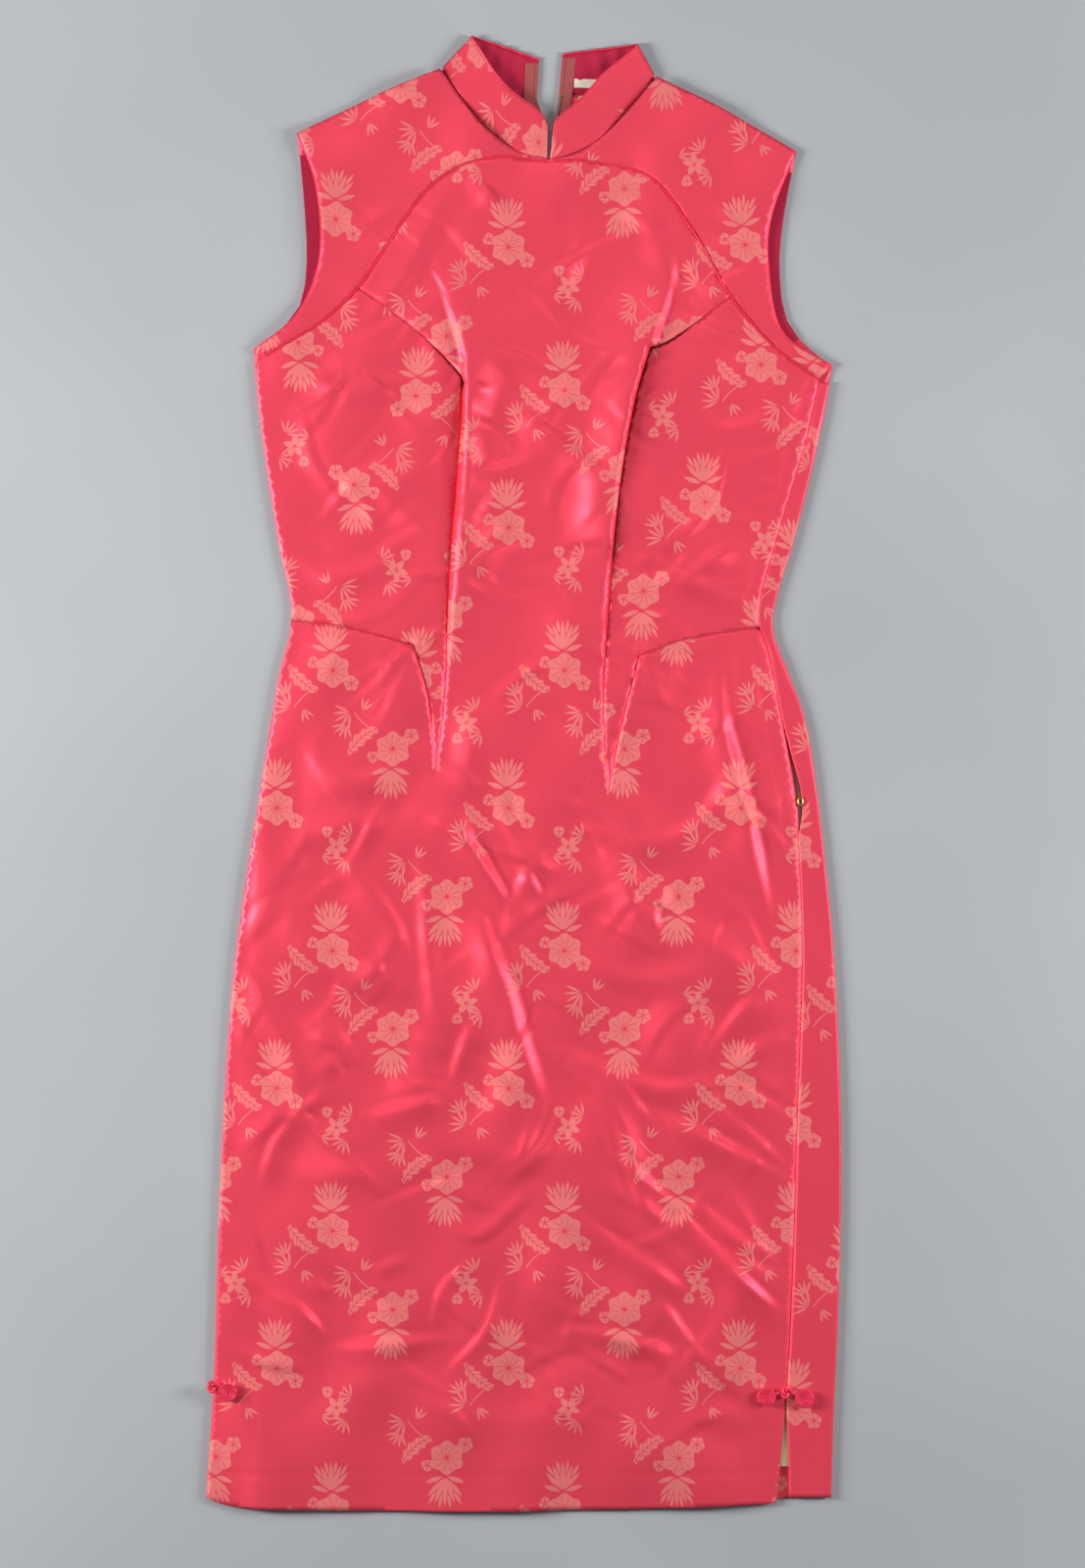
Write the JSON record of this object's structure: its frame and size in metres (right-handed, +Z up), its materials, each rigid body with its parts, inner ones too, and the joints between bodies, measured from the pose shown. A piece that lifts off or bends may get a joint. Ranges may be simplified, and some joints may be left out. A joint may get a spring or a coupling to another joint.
{
  "type": "cheongsam dress",
  "caption": "Sleeveless fitted cheongsam in figured satin, laid flat, with a stand collar, raglan yoke seams, bust and waist darts, back and side zips and frog fastenings over the side slits.",
  "frame": {"origin": "under the middle of the laid garment, on the surface it lies on", "axes": "+Y from hem to collar, +X to the right of the laid front, +Z up out of the front"},
  "size_m": [0.485, 1.1277, 0.0092],
  "materials": {
    "brocade_satin": "coral red satin with a woven lotus figure in salmon",
    "frog_satin": "satin, coiled and knotted bias tube",
    "facing_satin": "satin seen from its duller side",
    "lining": "plain beige lining",
    "zip_tape": "woven tape",
    "zip_metal": "nickel silver teeth",
    "slider_metal": "worn brass",
    "cotton_tape": "plain cotton tape"
  },
  "bodies": {
    "root": {"main_front": "brocade_satin", "side_front_left": "brocade_satin", "side_front_right": "brocade_satin", "yoke_left": "brocade_satin", "yoke_right": "brocade_satin", "back_left": "brocade_satin", "back_right": "brocade_satin", "collar_left": "brocade_satin", "collar_right": "brocade_satin", "frog_disc_right_front": "frog_satin", "frog_disc_right_back": "frog_satin", "frog_knot_right": "frog_satin", "frog_disc_left": "frog_satin", "frog_knot_left": "frog_satin", "armhole_facing_left": "facing_satin", "armhole_facing_right": "facing_satin", "neck_lining_left": "lining", "neck_lining_right": "lining", "slit_lining": "lining", "back_zip_tape_left": "zip_tape", "back_zip_tape_right": "zip_tape", "side_zip_tape_front": "zip_tape", "back_zip_teeth_left": "zip_metal", "back_zip_teeth_right": "zip_metal", "side_zip_teeth": "zip_metal", "side_zip_slider": "slider_metal", "side_zip_pull": "slider_metal", "collar_tape": "cotton_tape"}
  },
  "joints": []
}
